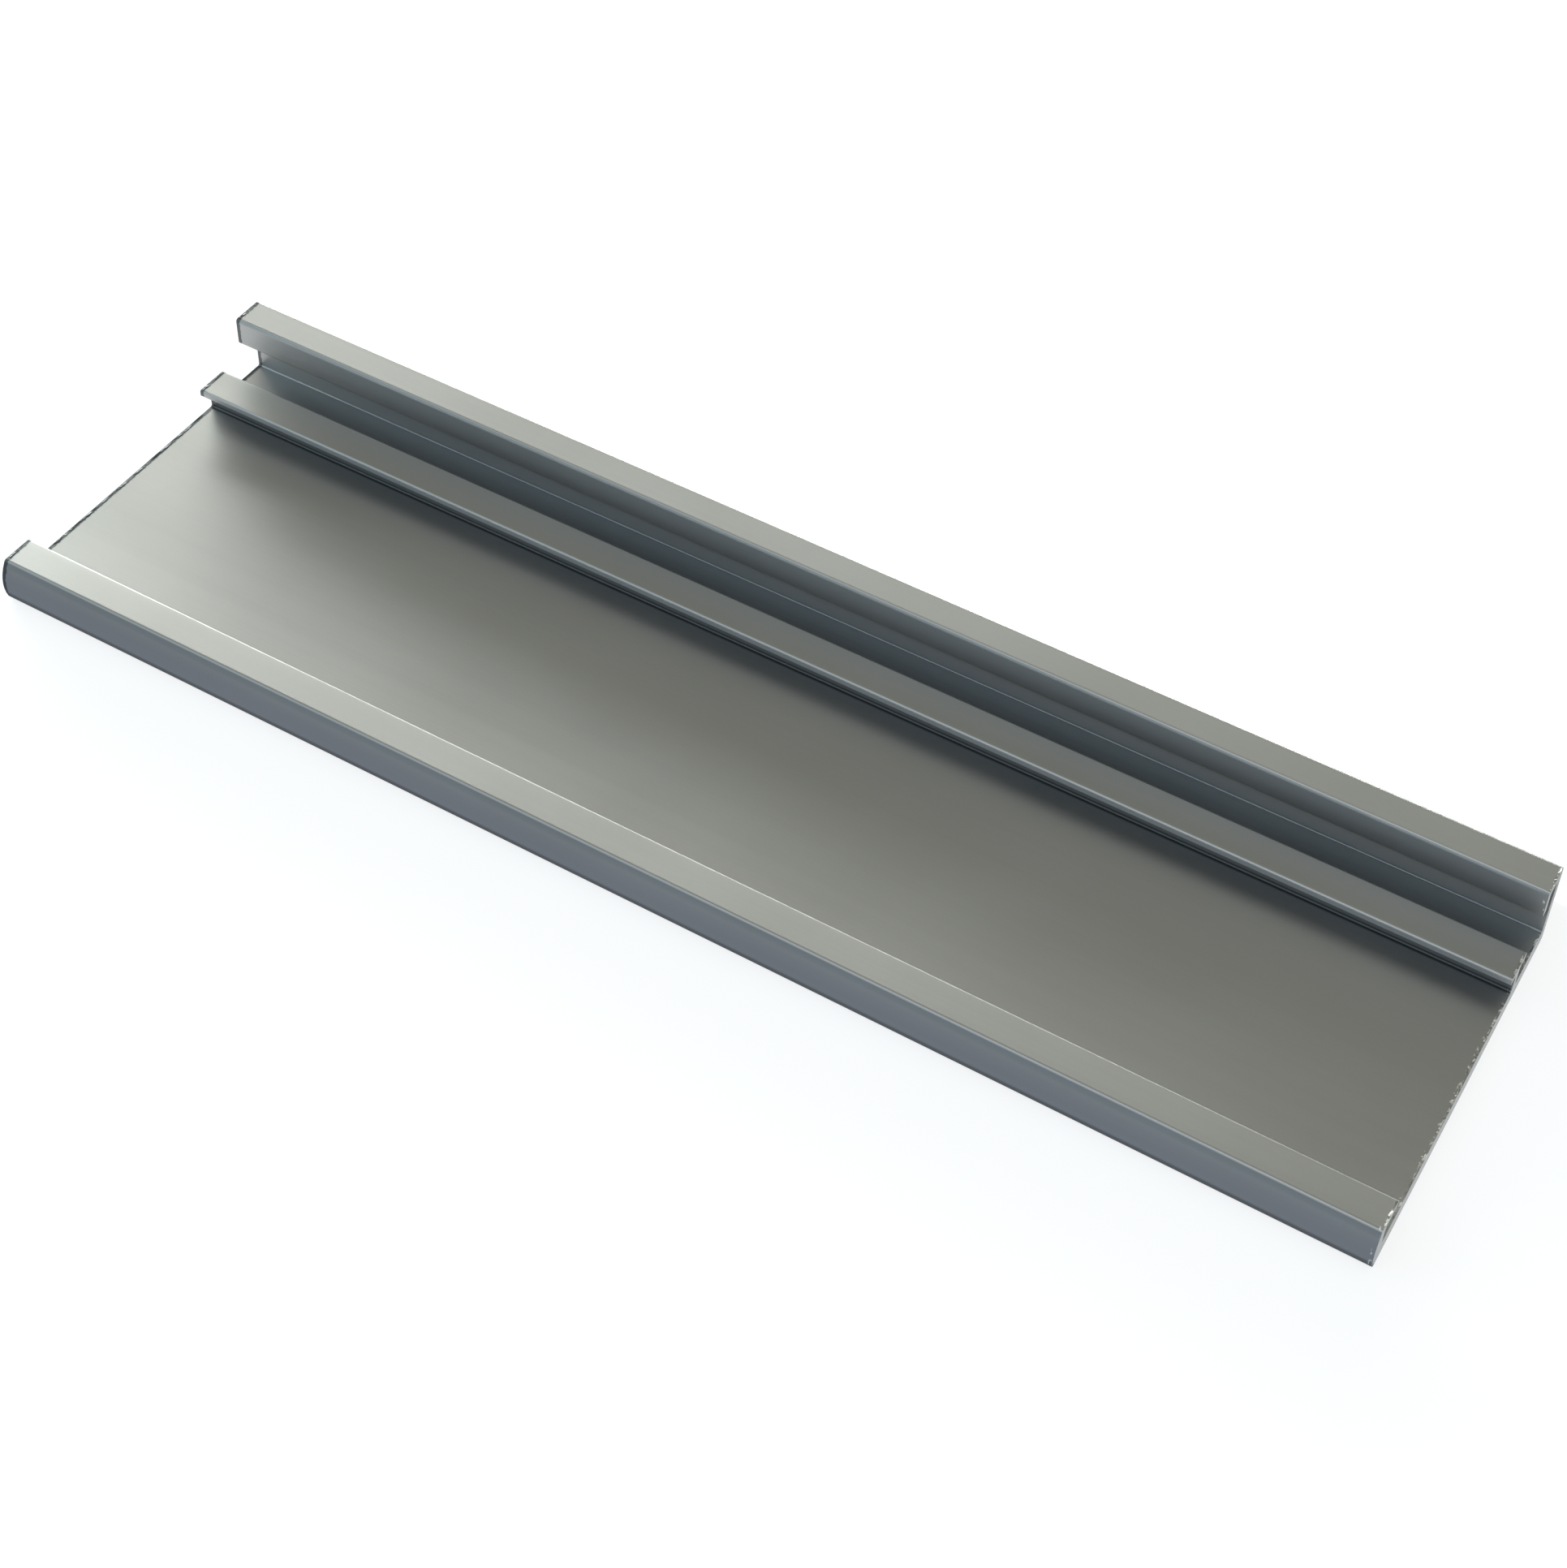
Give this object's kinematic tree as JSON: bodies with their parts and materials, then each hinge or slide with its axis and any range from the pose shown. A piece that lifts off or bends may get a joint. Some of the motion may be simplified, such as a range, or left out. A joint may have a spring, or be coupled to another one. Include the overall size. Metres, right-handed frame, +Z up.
{
  "type": "aluminium extrusion profile",
  "caption": "Sawn length of anodised aluminium extrusion: flat plate with a rounded lip, a T-shaped ledge and a tall hook that form slide-in channels.",
  "frame": {"origin": "on the floor under the middle of the piece", "axes": "+X along the length, +Y across the plate from the rounded lip to the tall hook, +Z up, away from the flat back that the piece lies on"},
  "size_m": [0.3, 0.0863, 0.0206],
  "materials": {
    "anodised_aluminium": "satin anodised"
  },
  "bodies": {
    "root": {"extrusion_profile": "anodised_aluminium"}
  },
  "joints": []
}
